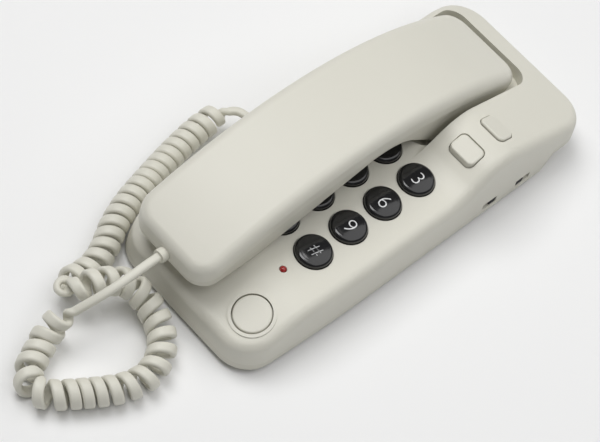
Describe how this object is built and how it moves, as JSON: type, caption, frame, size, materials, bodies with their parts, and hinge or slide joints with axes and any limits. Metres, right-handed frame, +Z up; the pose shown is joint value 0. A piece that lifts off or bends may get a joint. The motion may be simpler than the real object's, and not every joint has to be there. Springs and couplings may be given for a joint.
{
  "type": "corded landline telephone",
  "caption": "Corded push-button telephone with an arched handset lying along the left of a long sloped base, round keys, side slide switches and a curly cord.",
  "frame": {"origin": "on the table under the middle of the base, without the cord", "axes": "+Z up, +Y from the mouth end to the ear end of the handset, +X to the right of a person using the keypad"},
  "size_m": [0.1075, 0.2797, 0.056],
  "materials": {
    "casing": "satin fine-grained moulding, ivory grey",
    "casing_lower": "satin moulding, slightly greyer ivory",
    "key_black": "polished black with white figures",
    "button_ivory": "satin ivory grey",
    "knob_black": "fine matt black",
    "lamp_red": "clear red moulding",
    "cord_vinyl": "soft satin vinyl",
    "plug_clear": "clear-grey moulding",
    "socket_dark": "dark grey moulding",
    "foot_rubber": "soft dark rubber",
    "mat_rubber": "grey silicone rubber",
    "boot_rubber": "black rubber",
    "board": "brown phenolic laminate",
    "screw_steel": "zinc plated",
    "disc_brass": "plain brass",
    "capsule_steel": "plain steel"
  },
  "bodies": {
    "base": {"base_upper_cover": "casing", "base_lower_cover": "casing_lower", "base_feet": "foot_rubber", "base_screws": "screw_steel", "main_board": "board", "board_screws": "screw_steel", "keypad_mat": "mat_rubber", "led_lens": "lamp_red", "ringer_disc": "disc_brass", "hook_switch": "socket_dark", "ringer_switch_body": "socket_dark", "dial_switch_body": "socket_dark", "line_jack": "socket_dark", "handset_jack": "socket_dark", "cord_plug": "plug_clear", "handset_cord": "cord_vinyl"},
    "handset": {"handset_upper_shell": "casing", "handset_lower_shell": "casing_lower", "receiver_capsule": "capsule_steel", "microphone_boot": "boot_rubber", "microphone_capsule": "capsule_steel", "handset_weight": "capsule_steel", "handset_screws": "screw_steel", "cord_grommet": "cord_vinyl"},
    "hook_plunger": {"hook_plunger": "knob_black"},
    "key_1": {"key_1": "key_black"},
    "key_2": {"key_2": "key_black"},
    "key_3": {"key_3": "key_black"},
    "key_4": {"key_4": "key_black"},
    "key_5": {"key_5": "key_black"},
    "key_6": {"key_6": "key_black"},
    "key_7": {"key_7": "key_black"},
    "key_8": {"key_8": "key_black"},
    "key_9": {"key_9": "key_black"},
    "key_star": {"key_star": "key_black"},
    "key_0": {"key_0": "key_black"},
    "key_hash": {"key_hash": "key_black"},
    "redial_button": {"redial_button": "button_ivory"},
    "mute_button": {"mute_button": "button_ivory"},
    "flash_button": {"flash_button": "button_ivory"},
    "ringer_switch_knob": {"ringer_switch_knob": "knob_black"},
    "dial_switch_knob": {"dial_switch_knob": "knob_black"}
  },
  "joints": [
    {"name": "handset_lift", "type": "slide", "parent": "base", "child": "handset", "axis": [0, 0, 1], "range_m": [0, 0.1]},
    {"name": "hook_plunger_rise", "type": "slide", "parent": "base", "child": "hook_plunger", "axis": [0, 0, 1], "range_m": [0, 0.0028]},
    {"name": "key_1_press", "type": "slide", "parent": "base", "child": "key_1", "axis": [0, 0, -1], "range_m": [0, 0.0015], "stiffness_N_per_m": 600},
    {"name": "key_2_press", "type": "slide", "parent": "base", "child": "key_2", "axis": [0, 0, -1], "range_m": [0, 0.0015], "stiffness_N_per_m": 600},
    {"name": "key_3_press", "type": "slide", "parent": "base", "child": "key_3", "axis": [0, 0, -1], "range_m": [0, 0.0015], "stiffness_N_per_m": 600},
    {"name": "key_4_press", "type": "slide", "parent": "base", "child": "key_4", "axis": [0, 0, -1], "range_m": [0, 0.0015], "stiffness_N_per_m": 600},
    {"name": "key_5_press", "type": "slide", "parent": "base", "child": "key_5", "axis": [0, 0, -1], "range_m": [0, 0.0015], "stiffness_N_per_m": 600},
    {"name": "key_6_press", "type": "slide", "parent": "base", "child": "key_6", "axis": [0, 0, -1], "range_m": [0, 0.0015], "stiffness_N_per_m": 600},
    {"name": "key_7_press", "type": "slide", "parent": "base", "child": "key_7", "axis": [0, 0, -1], "range_m": [0, 0.0015], "stiffness_N_per_m": 600},
    {"name": "key_8_press", "type": "slide", "parent": "base", "child": "key_8", "axis": [0, 0, -1], "range_m": [0, 0.0015], "stiffness_N_per_m": 600},
    {"name": "key_9_press", "type": "slide", "parent": "base", "child": "key_9", "axis": [0, 0, -1], "range_m": [0, 0.0015], "stiffness_N_per_m": 600},
    {"name": "key_star_press", "type": "slide", "parent": "base", "child": "key_star", "axis": [0, 0, -1], "range_m": [0, 0.0015], "stiffness_N_per_m": 600},
    {"name": "key_0_press", "type": "slide", "parent": "base", "child": "key_0", "axis": [0, 0, -1], "range_m": [0, 0.0015], "stiffness_N_per_m": 600},
    {"name": "key_hash_press", "type": "slide", "parent": "base", "child": "key_hash", "axis": [0, 0, -1], "range_m": [0, 0.0015], "stiffness_N_per_m": 600},
    {"name": "redial_button_press", "type": "slide", "parent": "base", "child": "redial_button", "axis": [0, 0.3057, -0.9521], "range_m": [0, 0.0012], "stiffness_N_per_m": 700},
    {"name": "mute_button_press", "type": "slide", "parent": "base", "child": "mute_button", "axis": [0, 0, -1], "range_m": [0, 0.0012], "stiffness_N_per_m": 700},
    {"name": "flash_button_press", "type": "slide", "parent": "base", "child": "flash_button", "axis": [0, 0, -1], "range_m": [0, 0.0012], "stiffness_N_per_m": 700},
    {"name": "ringer_switch_knob_slide", "type": "slide", "parent": "base", "child": "ringer_switch_knob", "axis": [0, 1, 0], "range_m": [-0.004, 0]},
    {"name": "dial_switch_knob_slide", "type": "slide", "parent": "base", "child": "dial_switch_knob", "axis": [0, 1, 0], "range_m": [0, 0.004]}
  ],
  "couplings": [
    {"joint": "hook_plunger_rise", "follows": "handset_lift", "ratio": 0.028}
  ]
}
